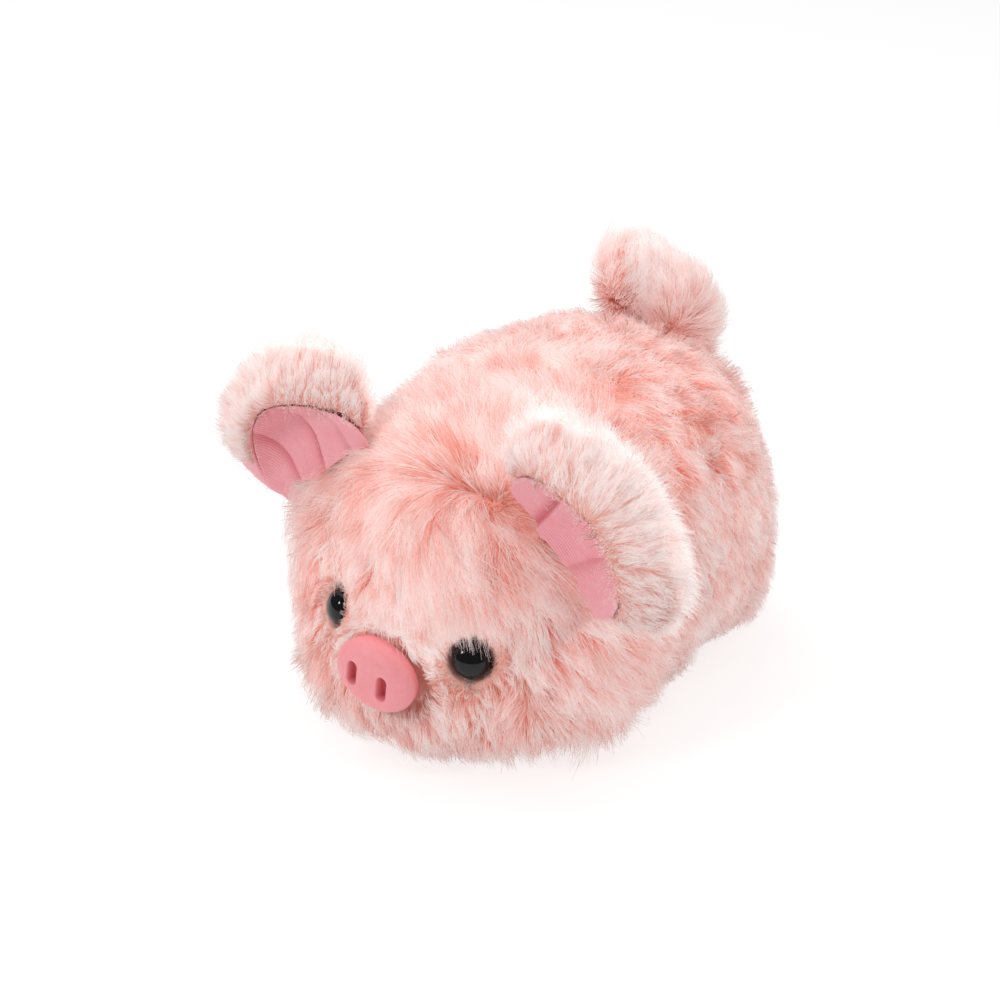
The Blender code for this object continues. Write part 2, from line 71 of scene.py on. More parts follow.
def settle(piece):
    graph = bpy.context.evaluated_depsgraph_get()
    mesh = bpy.data.meshes.new_from_object(
        piece.evaluated_get(graph), preserve_all_data_layers=True, depsgraph=graph)
    piece.modifiers.clear()
    piece.data = mesh
    mesh.name = piece.name
    return piece


def remeshedCopy(name, nodeName, voxel, smoothing):
    piece = mergedCopy(name, nodeName)
    remesh = piece.modifiers.new("even grid", 'REMESH')
    remesh.mode = 'VOXEL'
    remesh.voxel_size = voxel
    smooth = piece.modifiers.new("ease facets", 'SMOOTH')
    smooth.factor = 0.5
    smooth.iterations = smoothing
    settle(piece)
    piece.data.shade_smooth()
    return piece


def places(mesh):
    values = np.empty(len(mesh.vertices) * 3)
    mesh.vertices.foreach_get("co", values)
    return values.reshape(-1, 3)


def setPlaces(mesh, values):
    mesh.vertices.foreach_set("co", np.ascontiguousarray(values, dtype=np.float32).ravel())
    mesh.update()


def normals(mesh):
    values = np.empty(len(mesh.vertices) * 3)
    mesh.vertex_normals.foreach_get("vector", values)
    return values.reshape(-1, 3)


def unit(vectors):
    return vectors / np.maximum(np.linalg.norm(vectors, axis=-1, keepdims=True), 1e-9)


def ease(low, high, values):
    share = np.clip((values - low) / (high - low), 0, 1)
    return share * share * (3 - 2 * share)


def alongSurface(vectors, facing):
    return vectors - facing * np.sum(vectors * facing, axis=1, keepdims=True)


def drift(points, size, seed):
    offset = Vector((seed * 3.1, seed * 1.7, seed * 2.3))
    return np.array([noise.noise_vector(Vector(point) / size + offset) for point in points])


def waver(points, size, seed):
    offset = Vector((seed * 3.1, seed * 1.7, seed * 2.3))
    return np.array([noise.noise(Vector(point) / size + offset) for point in points])


def treeOf(*nodeNames):
    points = []
    faces = []
    for nodeName in nodeNames:
        mesh = nodes[nodeName].data
        first = len(points)
        points += [v.co.copy() for v in mesh.vertices]
        faces += [[first + index for index in face.vertices] for face in mesh.polygons]
    return BVHTree.FromPolygons(points, faces)


# Helpers for node trees

def place(tree, kind, inputs=None, out=0, **settings):
    node = tree.nodes.new(kind)
    for key, value in settings.items():
        setattr(node, key, value)
    for key, value in (inputs or {}).items():
        if isinstance(value, bpy.types.NodeSocket):
            tree.links.new(value, node.inputs[key])
        else:
            node.inputs[key].default_value = value
    return node.outputs[out]


def number(tree, operation, first, second=0.0):
    return place(tree, 'ShaderNodeMath', {0: first, 1: second}, operation=operation)


def vector(tree, operation, first, second=(0, 0, 0)):
    return place(tree, 'ShaderNodeVectorMath', {0: first, 1: second}, operation=operation)


def scaled(tree, value, factor):
    return place(tree, 'ShaderNodeVectorMath', {0: value, 'Scale': factor}, operation='SCALE')


def addShader(name, roughness, **constants):
    material = bpy.data.materials.new(name)
    material.use_nodes = True
    tree = material.node_tree
    shader = tree.nodes["Principled BSDF"]
    shader.inputs["Roughness"].default_value = roughness
    for label, value in constants.items():
        shader.inputs[label.replace("_", " ")].default_value = value
    return material, tree, shader


def ramp(tree, share, stops):
    node = tree.nodes.new('ShaderNodeValToRGB')
    tree.links.new(share, node.inputs[0])
    elements = node.color_ramp.elements
    while len(elements) < len(stops):
        elements.new(0.5)
    for element, (position, colour) in zip(elements, stops):
        element.position = position
        element.color = (*colour, 1)
    return node.outputs[0]


# Cloth grain: uneven colour and a fine fibre height, used by every cloth here

def makeClothGrain():
    tree = bpy.data.node_groups.new("clothGrain", 'ShaderNodeTree')
    sockets = tree.interface
    sockets.new_socket("Fibre Size", in_out='INPUT', socket_type='NodeSocketFloat').default_value = 2000
    sockets.new_socket("Patch Size", in_out='INPUT', socket_type='NodeSocketFloat').default_value = 90
    sockets.new_socket("Shade", in_out='OUTPUT', socket_type='NodeSocketFloat')
    sockets.new_socket("Height", in_out='OUTPUT', socket_type='NodeSocketFloat')
    start = tree.nodes.new('NodeGroupInput')
    end = tree.nodes.new('NodeGroupOutput')
    spot = place(tree, 'ShaderNodeTexCoord', out='Object')
    patch = place(tree, 'ShaderNodeTexNoise', {'Vector': spot, 'Scale': start.outputs["Patch Size"], 'Detail': 3.0})
    fibre = place(tree, 'ShaderNodeTexNoise', {'Vector': spot, 'Scale': start.outputs["Fibre Size"], 'Detail': 2.0})
    shade = number(tree, 'ADD', number(tree, 'MULTIPLY', patch, 0.6), number(tree, 'MULTIPLY', fibre, 0.4))
    tree.links.new(shade, end.inputs["Shade"])
    tree.links.new(fibre, end.inputs["Height"])
    return tree


clothGrain = makeClothGrain()


def grain(tree, fibreSize, patchSize):
    node = tree.nodes.new('ShaderNodeGroup')
    node.node_tree = clothGrain
    node.inputs["Fibre Size"].default_value = fibreSize
    node.inputs["Patch Size"].default_value = patchSize
    return node.outputs["Shade"], node.outputs["Height"]


def bump(tree, shader, height, distance, strength=1.0):
    normal = place(tree, 'ShaderNodeBump', {'Height': height, 'Distance': distance, 'Strength': strength})
    tree.links.new(normal, shader.inputs["Normal"])


# Strands carry a tone across their map and the way up the strand along it
furLook = {
    "rootDark": (0.66, 0.15, 0.09), "rootMid": (0.80, 0.33, 0.26), "rootPale": (0.90, 0.58, 0.53),
    "tipDark": (0.81, 0.36, 0.29), "tipMid": (0.88, 0.68, 0.65), "tipPale": (0.92, 0.86, 0.845),
    "rootReach": (0.08, 0.70), "roughness": 0.75, "sheen": 0.10, "sparkle": 0.7, "lift": 0.3, "lightThrough": 0.12}


def makeFurMaterial(name, look):
    material, tree, shader = addShader(
        name, look["roughness"], Sheen_Weight=look["sheen"], Sheen_Roughness=0.4)
    strand = place(tree, 'ShaderNodeUVMap', uv_map="strand")
    parts = tree.nodes.new('ShaderNodeSeparateXYZ')
    tree.links.new(strand, parts.inputs[0])
    tone = parts.outputs[0]
    roots = ramp(tree, tone, [(0.0, look["rootDark"]), (0.5, look["rootMid"]), (1.0, look["rootPale"])])
    tips = ramp(tree, tone, [(0.0, look["tipDark"]), (0.5, look["tipMid"]), (1.0, look["tipPale"])])
    low, high = look["rootReach"]
    share = place(tree, 'ShaderNodeMapRange', {'Value': parts.outputs[1], 'From Min': low, 'From Max': high},
                  interpolation_type='SMOOTHSTEP')
    mixed = place(tree, 'ShaderNodeMix', {'Factor': share, 6: roots, 7: tips}, out=2, data_type='RGBA')
    tree.links.new(mixed, shader.inputs["Base Color"])
    through = place(tree, 'ShaderNodeBsdfTranslucent', {'Color': mixed})
    behind = place(tree, 'ShaderNodeNewGeometry', out='Backfacing')
    part = place(tree, 'ShaderNodeMix',                              # a hair is lit alike on both of its sides
                 {'Factor': behind, 2: look["lightThrough"], 3: 1 - look["lightThrough"]}, out=0)
    both = place(tree, 'ShaderNodeMixShader', {0: part, 1: shader.outputs[0], 2: through})
    tree.links.new(both, tree.nodes["Material Output"].inputs["Surface"])
    return material


furMaterial = makeFurMaterial("pinkFur", furLook)


def makeBackingMaterial():
    material, tree, shader = addShader("furBacking", 0.9)
    shade, height = grain(tree, 1800.0, 60.0)
    colour = ramp(tree, shade, [(0.3, (0.82, 0.36, 0.28)), (0.7, (0.93, 0.58, 0.50))])
    tree.links.new(colour, shader.inputs["Base Color"])
    bump(tree, shader, height, 0.2 * millimetre)
    return material


backingMaterial = makeBackingMaterial()


# Fur: strands rooted on a skin that carries flow, reach, rise, tone and cover on its points

def named(tree, name, kind='FLOAT'):
    return place(tree, 'GeometryNodeInputNamedAttribute', {'Name': name}, data_type=kind)


def keep(tree, geometry, name, value, kind, domain='POINT'):
    return place(tree, 'GeometryNodeStoreNamedAttribute',
                 {'Geometry': geometry, 'Name': name, 'Value': value}, data_type=kind, domain=domain)


def makeFurTree():
    tree = bpy.data.node_groups.new("growFur", 'GeometryNodeTree')
    sockets = tree.interface
    sockets.new_socket("Skin", in_out='INPUT', socket_type='NodeSocketGeometry')
    for label, value in (("Density", 1e6), ("Width", 0.3 * millimetre), ("Lock Size", 4 * millimetre),
                         ("Lock Pull", 0.6), ("Tuft Size", 12 * millimetre), ("Tuft Pull", 0.25),
                         ("Lock Turn", 0.5), ("Tuft Turn", 0.5), ("Lock Tone", 0.3), ("Fleck", 0.5),
                         ("Stray", 0.35), ("Lowest", 0.2 * millimetre)):
        sockets.new_socket(label, in_out='INPUT', socket_type='NodeSocketFloat').default_value = value
    sockets.new_socket("Seed", in_out='INPUT', socket_type='NodeSocketInt').default_value = 1
    sockets.new_socket("Material", in_out='INPUT', socket_type='NodeSocketMaterial')
    sockets.new_socket("Fur", in_out='OUTPUT', socket_type='NodeSocketGeometry')
    given = tree.nodes.new('NodeGroupInput').outputs
    end = tree.nodes.new('NodeGroupOutput')

    density = number(tree, 'MULTIPLY', named(tree, "cover"), given["Density"])
    scatter = tree.nodes.new('GeometryNodeDistributePointsOnFaces')
    tree.links.new(given["Skin"], scatter.inputs["Mesh"])
    tree.links.new(density, scatter.inputs["Density"])
    tree.links.new(given["Seed"], scatter.inputs["Seed"])
    points = scatter.outputs["Points"]
    root = place(tree, 'GeometryNodeInputPosition')
    points = keep(tree, points, "root", root, 'FLOAT_VECTOR')
    for name, seed in (("chance", 3), ("stray", 8)):
        chance = place(tree, 'FunctionNodeRandomValue', {0: (0, 0, 0), 1: (1, 1, 1), 'Seed': seed},
                       data_type='FLOAT_VECTOR')
        points = keep(tree, points, name, chance, 'FLOAT_VECTOR')
    for name, size in (("lock", given["Lock Size"]), ("tuft", given["Tuft Size"])):
        inverse = number(tree, 'DIVIDE', 1.0, size)
        cells = tree.nodes.new('ShaderNodeTexVoronoi')
        cells.inputs["Scale"].default_value = 1
        tree.links.new(scaled(tree, root, inverse), cells.inputs["Vector"])
        middle = scaled(tree, cells.outputs["Position"], size)
        points = keep(tree, points, name, vector(tree, 'SUBTRACT', middle, root), 'FLOAT_VECTOR')
        mood = vector(tree, 'SUBTRACT', cells.outputs["Color"], (0.5, 0.5, 0.5))
        points = keep(tree, points, name + "Mood", mood, 'FLOAT_VECTOR')

    ribbon = tree.nodes.new('GeometryNodeMeshGrid')
    ribbon.inputs["Size X"].default_value = 1
    ribbon.inputs["Size Y"].default_value = 1
    ribbon.inputs["Vertices X"].default_value = 2
    ribbon.inputs["Vertices Y"].default_value = 4
    corner = tree.nodes.new('ShaderNodeSeparateXYZ')
    tree.links.new(place(tree, 'GeometryNodeInputPosition'), corner.inputs[0])
    strand = keep(tree, ribbon.outputs["Mesh"], "side", corner.outputs[0], 'FLOAT')
    strand = keep(tree, strand, "along", number(tree, 'ADD', corner.outputs[1], 0.5), 'FLOAT')
    grown = place(tree, 'GeometryNodeInstanceOnPoints', {'Points': points, 'Instance': strand})
    grown = place(tree, 'GeometryNodeRealizeInstances', {'Geometry': grown})

    along = named(tree, "along")
    outward = vector(tree, 'NORMALIZE', named(tree, "outward", 'FLOAT_VECTOR'))
    chances = tree.nodes.new('ShaderNodeSeparateXYZ')
    tree.links.new(named(tree, "chance", 'FLOAT_VECTOR'), chances.inputs[0])
    stray = vector(tree, 'SUBTRACT', named(tree, "stray", 'FLOAT_VECTOR'), (0.5, 0.5, 0.5))
    stray = scaled(tree, stray, number(tree, 'MULTIPLY', given["Stray"], 2.0))
    heading = vector(tree, 'ADD', named(tree, "flow", 'FLOAT_VECTOR'), stray)
    for name, turn in (("lockMood", "Lock Turn"), ("tuftMood", "Tuft Turn")):
        heading = vector(tree, 'ADD', heading, scaled(tree, named(tree, name, 'FLOAT_VECTOR'), given[turn]))
    lift = place(tree, 'ShaderNodeVectorMath', {0: heading, 1: outward}, out=1, operation='DOT_PRODUCT')
    heading = vector(tree, 'SUBTRACT', heading, scaled(tree, outward, number(tree, 'MULTIPLY', lift, 0.85)))
    moods = tree.nodes.new('ShaderNodeSeparateXYZ')
    tree.links.new(named(tree, "lockMood", 'FLOAT_VECTOR'), moods.inputs[0])
    reach = number(tree, 'MULTIPLY', named(tree, "reach"),
                   number(tree, 'ADD', number(tree, 'MULTIPLY', chances.outputs[0], 0.5), 0.72))
    rise = number(tree, 'MULTIPLY', named(tree, "rise"),
                  number(tree, 'ADD', number(tree, 'MULTIPLY', chances.outputs[1], 0.45), 0.72))
    rise = number(tree, 'MULTIPLY', rise, number(tree, 'ADD', 1.0, number(tree, 'MULTIPLY', moods.outputs[2], 0.35)))

    left = number(tree, 'SUBTRACT', 2.0, along)
    climb = number(tree, 'MULTIPLY', along, left)                    # quick at the root, level at the tip
    sag = number(tree, 'MULTIPLY', number(tree, 'POWER', along, 3.0), -0.22)
    height = number(tree, 'MULTIPLY', rise, number(tree, 'ADD', climb, sag))
    run = number(tree, 'MULTIPLY', reach, number(tree, 'POWER', along, 1.35))
    spot = vector(tree, 'ADD', named(tree, "root", 'FLOAT_VECTOR'), scaled(tree, outward, height))
    spot = vector(tree, 'ADD', spot, scaled(tree, heading, run))
    for name, pull, power in (("lock", "Lock Pull", 1.6), ("tuft", "Tuft Pull", 1.3)):
        shift = named(tree, name, 'FLOAT_VECTOR')
        lift = place(tree, 'ShaderNodeVectorMath', {0: shift, 1: outward}, out=1, operation='DOT_PRODUCT')
        shift = vector(tree, 'SUBTRACT', shift, scaled(tree, outward, lift))
        share = number(tree, 'MULTIPLY', number(tree, 'POWER', along, power), given[pull])
        spot = vector(tree, 'ADD', spot, scaled(tree, shift, share))
    angle = number(tree, 'MULTIPLY', number(tree, 'SUBTRACT', chances.outputs[2], 0.5), 1.3)
    across = vector(tree, 'NORMALIZE', vector(tree, 'CROSS_PRODUCT', heading, outward))
    across = vector(tree, 'ADD', scaled(tree, across, number(tree, 'COSINE', angle)),
                    scaled(tree, outward, number(tree, 'SINE', angle)))
    taper = number(tree, 'SUBTRACT', 1.0, number(tree, 'MULTIPLY', along, 0.78))
    breadth = number(tree, 'MULTIPLY', number(tree, 'MULTIPLY', given["Width"], taper), named(tree, "side"))
    spot = vector(tree, 'ADD', spot, scaled(tree, across, breadth))
    parts = tree.nodes.new('ShaderNodeSeparateXYZ')
    tree.links.new(spot, parts.inputs[0])
    high = number(tree, 'MAXIMUM', parts.outputs[2], given["Lowest"])
    spot = place(tree, 'ShaderNodeCombineXYZ', {0: parts.outputs[0], 1: parts.outputs[1], 2: high})
    grown = place(tree, 'GeometryNodeSetPosition', {'Geometry': grown, 'Position': spot})

    tone = number(tree, 'ADD', named(tree, "tone"), number(tree, 'MULTIPLY', moods.outputs[0], given["Lock Tone"]))
    fleck = number(tree, 'MULTIPLY', number(tree, 'SUBTRACT', chances.outputs[0], 0.5), given["Fleck"])
    tone = number(tree, 'MINIMUM', number(tree, 'MAXIMUM', number(tree, 'ADD', tone, fleck), 0.02), 0.98)
    mapX = number(tree, 'ADD', tone, number(tree, 'MULTIPLY', named(tree, "side"), 0.004))
    mapPoint = place(tree, 'ShaderNodeCombineXYZ', {0: mapX, 1: along})
    for name in ("strand", "OFBake"):
        grown = keep(tree, grown, name, mapPoint, 'FLOAT2', 'CORNER')
    grown = place(tree, 'GeometryNodeSetMaterial', {'Geometry': grown, 'Material': given["Material"]})
    tree.links.new(grown, end.inputs["Fur"])
    return tree


furTree = makeFurTree()


def giveValues(skin, name, values):
    kind = 'FLOAT_VECTOR' if values.ndim == 2 else 'FLOAT'
    attribute = skin.data.attributes.new(name, kind, 'POINT')
    attribute.data.foreach_set("vector" if values.ndim == 2 else "value",
                               np.ascontiguousarray(values, dtype=np.float32).ravel())


def readVectors(mesh, name):
    values = np.empty(len(mesh.vertices) * 3, dtype=np.float32)
    mesh.attributes[name].data.foreach_get("vector", values)
    return values.reshape(-1, 3)


def coveredArea(mesh, cover):
    total = 0.0
    for face in mesh.polygons:
        total += face.area * float(np.mean(cover[list(face.vertices)]))
    return total


def growFur(name, skin, fields, settings, body):
    carrier = addObject(name, skin.data.copy())
    for key in ("flow", "outward", "reach", "rise", "tone", "cover"):
        giveValues(carrier, key, fields[key])
    modifier = carrier.modifiers.new("fur", 'NODES')
    modifier.node_group = furTree
    values = dict(settings)
    values["Density"] = settings["Strands"] / coveredArea(carrier.data, fields["cover"])
    values["Material"] = furMaterial
    for item in furTree.interface.items_tree:
        if item.in_out == 'INPUT' and item.name in values:
            modifier[item.identifier] = values[item.name]
    settle(carrier)
    mesh = carrier.data
    shading = readVectors(mesh, "outward") + (readVectors(mesh, "stray") - 0.5) * furLook["sparkle"]
    shading[:, 2] += furLook["lift"]                                 # pile passes light on to its shaded side
    for key in ("root", "outward", "chance", "stray", "lock", "tuft", "lockMood", "tuftMood", "side", "along",
                "flow", "reach", "rise", "tone", "cover"):
        if key in mesh.attributes:
            mesh.attributes.remove(mesh.attributes[key])
    mesh.shade_smooth()
    mesh.normals_split_custom_set_from_vertices(unit(shading).tolist())
    carrier.visible_shadow = False                                   # light sinks into pile; the cloth below shades
    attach(carrier, body)
    print(name, len(mesh.polygons) * 2, "triangles")
    return carrier


# Eyes and nose give the places that the fur keeps clear of

def eyeFrame(nodeName):
    points = places(nodes[nodeName].data)
    middle = points.mean(axis=0)
    distance = np.linalg.norm(points - middle, axis=1)
    stemEnd = points[distance > distance.max() - 0.2 * millimetre].mean(axis=0)
    axis = unit((middle - stemEnd)[None])[0]
    along = (points - stemEnd) @ axis
    across = np.linalg.norm(points - stemEnd - along[:, None] * axis, axis=1)
    radius = across.max()
    widest = along[across > radius - 0.02 * millimetre].min()
    return {"stemEnd": stemEnd, "axis": axis, "radius": radius, "flange": widest, "top": along.max(),
            "centre": stemEnd + axis * widest}


eyes = {"left": eyeFrame("eye_left"), "right": eyeFrame("eye_right")}
snoutLow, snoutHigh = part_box("snout")
snout = {
    "centre": np.array([-0.0006, snoutLow.y, 0.0365]), "halfWidth": 14.6 * millimetre,
    "halfHeight": 11.6 * millimetre, "roll": math.radians(-8)}
print("eye", [round(v * 1000, 1) for v in eyes["left"]["centre"]], "radius", eyes["left"]["radius"])


# Skins of the head and the body: each panel's copy, pressed in so that its fur stands to the CAD surface

headFur = {
    "pressed": 0.50, "parting": ((8.0, -58.0, 95.5), (30.0, -54.0, 92.0)), "reach": 14.0, "faceReach": 8.0,
    "rise": 7.8, "faceRise": 5.4, "swirl": 0.60, "fall": 0.45, "wander": 1.0, "tousle": 0.70, "tone": 0.50,
    "faceTone": 0.60, "bangTip": (18.0, 64.0), "bangSlope": 0.34, "bangPull": 0.9, "bangRise": 1.8,
    "tufts": [((-46, -55, 70), 13, 9.0), ((-44, -68, 50), 16, 2.5), ((-30, -74, 14), 16, 8.0),
              ((-40, -58, 84), 8, 3.0), ((42, -60, 80), 8, 2.0)]}
bodyFur = {
    "pressed": 0.50, "reach": 6.5, "rise": 5.4, "back": 0.50, "fall": 0.95, "outward": 0.45,
    "wander": 0.65, "tousle": 0.60, "tone": 0.66, "coral": (35.0, 25.0, 93.0), "coralReach": 34.0,
    "tufts": [((-6, 60, 101), 15, 4.0), ((-34, 62, 98), 13, 8.0), ((-30, 74, 98), 12, 8.0), ((58, 50, 22), 18, 3.5),
              ((24, 74, 92), 20, 8.5)]}


def averaged(mesh, vectors, weights, rounds):
    ends = np.empty(len(mesh.edges) * 2, dtype=np.int32)
    mesh.edges.foreach_get("vertices", ends)
    first, second = ends.reshape(-1, 2).T
    vectors = unit(vectors) * weights[:, None]
    for turn in range(rounds):
        total = vectors.copy()
        for axis in range(3):
            total[:, axis] += np.bincount(first, vectors[second, axis], len(vectors))
            total[:, axis] += np.bincount(second, vectors[first, axis], len(vectors))
        vectors = total / 6
    return unit(vectors)


def pressedSkin(name, nodeName, fillingTree, coverDepth, pressed, otherTree):
    skin = remeshedCopy(name, nodeName, 1.5 * millimetre, 6)
    points = places(skin.data)
    nearest = np.array([fillingTree.find_nearest(Vector(point))[0] for point in points])
    away = points - nearest
    depth = np.linalg.norm(away, axis=1)
    outward = averaged(skin.data, away, np.minimum(depth / coverDepth, 1) ** 2, 14)
    between = np.array([otherTree.find_nearest(Vector(point))[3] for point in points]) / millimetre
    crease = 1 - ease(3.0, 15.0, between)                            # 1 where it meets the other half
    cover = ease(0.25 * coverDepth, 0.5 * coverDepth, depth) * ease(0.4, 1.4, between)
    share = pressed + (0.95 - pressed) * crease
    for eye in eyes.values():                                        # the short hair by an eye stands on higher cloth
        toEye = np.linalg.norm(points - eye["centre"], axis=1) / millimetre
        share = share + (0.66 - share) * (1 - ease(7.5, 15.0, toEye))
    setPlaces(skin.data, nearest + away * share[:, None])
    return skin, outward, cover, crease


def tuftHeight(points, tufts):
    height = np.zeros(len(points))
    for centre, radius, rise in tufts:
        distance = np.linalg.norm(points / millimetre - np.array(centre), axis=1)
        height += rise * np.exp(-(distance / radius) ** 2)
    return height


def keepOffFace(points, fields):
    for eye in eyes.values():
        away = points - eye["centre"]
        distance = np.linalg.norm(away, axis=1) / millimetre
        near = 1 - ease(6.5, 15.0, distance)[:, None]
        fields["flow"] = unit(fields["flow"] * (1 - near) + unit(away) * near)
        fields["reach"] = np.minimum(fields["reach"], np.maximum(distance - 7.0, 0.6) * 0.7 * millimetre)
        fields["rise"] = np.minimum(fields["rise"], np.maximum(distance - 5.6, 0.9) * 0.50 * millimetre)
        # painted light: the hair close to each eye is coloured paler to lift the shade around the eye
        fields["tone"] = fields["tone"] + 0.25 * (1 - ease(6.0, 12.0, distance))
        fields["cover"] = fields["cover"] * ease(5.3, 6.4, distance)
    turn = snout["roll"]
    x = points[:, 0] * math.cos(turn) + (points[:, 2] - snout["centre"][2]) * math.sin(turn)
    z = -points[:, 0] * math.sin(turn) + (points[:, 2] - snout["centre"][2]) * math.cos(turn)
    ring = np.sqrt((x / snout["halfWidth"]) ** 2 + (z / snout["halfHeight"]) ** 2)
    front = ease(-64.0, -74.0, points[:, 1] / millimetre)
    away = unit(np.stack([points[:, 0], np.zeros(len(points)), points[:, 2] - snout["centre"][2]], axis=1))
    near = ((1 - ease(1.0, 1.7, ring)) * front)[:, None]
    above = ease(0.0, 8.0, (points[:, 2] - snout["centre"][2]) / millimetre)[:, None]
    fields["flow"] = unit(fields["flow"] * (1 - near * (1 - 0.6 * above)) + away * near * (1 - 0.5 * above))
    fields["reach"] = fields["reach"] * (1 - 0.5 * near[:, 0])
    fields["tone"] = fields["tone"] + 0.12 * near[:, 0]
    fields["cover"] = fields["cover"] * np.where(front > 0.5, ease(0.93, 1.0, ring), 1)
    return fields


def headFields(points, outward, cover, crease):
    look = headFur
    x, y, z = (points / millimetre).T
    start, end = np.array(look["parting"]) * millimetre
    share = np.clip((points - start) @ (end - start) / np.sum((end - start) ** 2), 0, 1)
    away = points - start - share[:, None] * (end - start)
    distance = np.linalg.norm(away, axis=1) / millimetre
    radial = unit(alongSurface(away, outward))
    swirl = np.cross(outward, radial)
    low = ease(100.0, 40.0, z)[:, None]
    down = np.array([0, 0, -1.0])
    flow = radial + swirl * look["swirl"] + down * look["fall"] * (0.3 + low)
    tipX, tipZ = look["bangTip"]
    edge = tipZ + look["bangSlope"] * np.abs(x - tipX)               # lower edge of the forehead's longer hair
    front = ease(-48.0, -58.0, y)
    forehead = 1 - front * (1 - ease(-3.0, 5.0, z - edge))
    band = front * np.exp(-((z - edge - 9) / 9) ** 2)
    flow[:, 0] -= look["bangPull"] * band * np.clip((x - tipX) / 30, -1, 1)
    flow = flow + drift(points, 18 * millimetre, 1) * look["wander"]
    flow = flow + drift(points, 6 * millimetre, 21) * look["tousle"]
    flow = unit(alongSurface(flow, outward)) * (0.25 + 0.75 * ease(2.0, 18.0, distance))[:, None]
    bare = 1 - ease(2.0, 13.0, distance)                             # short messy hair where the crown parts
    under = ease(14.0, 4.0, z - 8 * ease(15.0, 45.0, x))
    under = under * (0.45 + 0.4 * ease(15.0, 45.0, x) - 0.35 * ease(-8.0, -25.0, x))
    reach = look["faceReach"] + (look["reach"] - look["faceReach"]) * forehead
    reach = reach * (1 - under) * (1 + 0.25 * crease) * (1 - 0.5 * bare)
    rise = look["faceRise"] + (look["rise"] - look["faceRise"]) * forehead
    rise = rise * (1 + 0.16 * waver(points, 16 * millimetre, 5)) * (1 - under) * (1 + 0.25 * crease)
    rise = rise * (1 - 0.25 * bare) + tuftHeight(points, look["tufts"]) + look["bangRise"] * band
    tone = look["faceTone"] + (look["tone"] - look["faceTone"]) * forehead
    tone = tone + 0.20 * waver(points, 9 * millimetre, 7) + 0.10 * waver(points, 3 * millimetre, 8)
    tone = tone - bare * (0.12 + 0.9 * np.maximum(waver(points, 4 * millimetre, 17), 0)) - 0.12 * band + 0.1 * crease
    fields = {"flow": flow, "outward": outward, "reach": reach * millimetre, "rise": rise * millimetre,
              "tone": tone, "cover": cover}
    fields = keepOffFace(points, fields)
    fields["tone"] = np.clip(fields["tone"], 0.03, 0.97)
    return fields


def bodyFields(points, outward, cover, crease):
    look = bodyFur
    x, y, z = (points / millimetre).T
    side = np.sign(x) * ease(0.0, 30.0, np.abs(x))
    top = np.clip(outward[:, 2], 0, 1)
    flow = np.stack([side * look["outward"], look["back"] * (0.45 + 0.55 * top), -look["fall"] * (1 - 0.8 * top)],
                    axis=1)
    flow = flow + drift(points, 22 * millimetre, 2) * look["wander"] * (0.4 + top)[:, None]
    flow = flow + drift(points, 7 * millimetre, 22) * look["tousle"] * (0.4 + top)[:, None]
    flow = unit(alongSurface(flow, outward))
    under = ease(12.0, 3.0, z)
    rows = waver(points * np.array([0.8, 2.2, 0.8]), 7 * millimetre, 6)
    middle = np.linalg.norm(points / millimetre - np.array(look["coral"]), axis=1) / look["coralReach"]
    parting = ease(0.08, 0.26, rows) * (0.35 + 0.65 * np.exp(-middle ** 2)) * ease(0.0, 0.45, top)
    parting = parting * ease(-40.0, -20.0, y) * ease(74.0, 60.0, y)
    reach = look["reach"] * (1 - 0.5 * under) * (1 + 0.2 * crease) * (1 - 0.3 * parting)
    rise = look["rise"] * (1 + 0.2 * waver(points, 15 * millimetre, 6)) * (1 - 0.5 * under) * (1 + 0.3 * crease)
    rise = rise * (1 - 0.60 * parting) + tuftHeight(points, look["tufts"])
    tone = look["tone"] + 0.20 * waver(points, 10 * millimetre, 9) + 0.12 * waver(points, 3 * millimetre, 10)
    tone = tone - 0.70 * parting + 0.12 * ease(55.0, 85.0, y) - 0.12 * np.exp(-middle ** 2)
    return {"flow": flow, "outward": outward, "reach": reach * millimetre, "rise": rise * millimetre,
            "tone": np.clip(tone, 0.03, 0.97), "cover": cover}


def makePanels(nodeNames, fillingName, coverDepth, look, makeFields, strands, settings, seed, others):
    fillingTree = treeOf(fillingName)
    otherTree = treeOf(*others)
    for offset, nodeName in enumerate(nodeNames):
        skin, outward, cover, crease = pressedSkin(
            "cloth_" + nodeName, nodeName, fillingTree, coverDepth, look["pressed"], otherTree)
        fields = makeFields(places(skin.data), outward, cover, crease)
        skin.data.materials.clear()
        skin.data.materials.append(backingMaterial)
        values = dict(settings, Strands=strands[offset], Seed=seed + offset)
        growFur("fur_" + nodeName, skin, fields, values, "torso")
        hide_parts(nodeName)
        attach(skin, "torso")


headStrands = {
    "Width": 0.34 * millimetre, "Lock Size": 3.6 * millimetre, "Lock Pull": 0.62, "Lock Turn": 0.55,
    "Tuft Size": 11 * millimetre, "Tuft Pull": 0.18, "Tuft Turn": 0.5, "Lock Tone": 0.50, "Fleck": 0.6, "Stray": 0.30}
bodyStrands = {
    "Width": 0.34 * millimetre, "Lock Size": 2.8 * millimetre, "Lock Pull": 0.60, "Lock Turn": 0.8,
    "Tuft Size": 9 * millimetre, "Tuft Pull": 0.22, "Tuft Turn": 0.6, "Lock Tone": 0.42, "Fleck": 0.5, "Stray": 0.38}
headPanels = ["head_side_left", "head_side_right", "head_gusset"]
bodyPanels = ["body_side_left", "body_side_right", "belly_panel"]

makePanels(headPanels, "head_filling", 10.0 * millimetre, headFur, headFields, [33000, 33000, 30000],
           headStrands, 11, bodyPanels)
makePanels(bodyPanels, "body_filling", 6.5 * millimetre, bodyFur, bodyFields, [33000, 33000, 6000],
           bodyStrands, 21, headPanels)
print("head and body covered")


# Ears: a furred back, and a lining in its cup

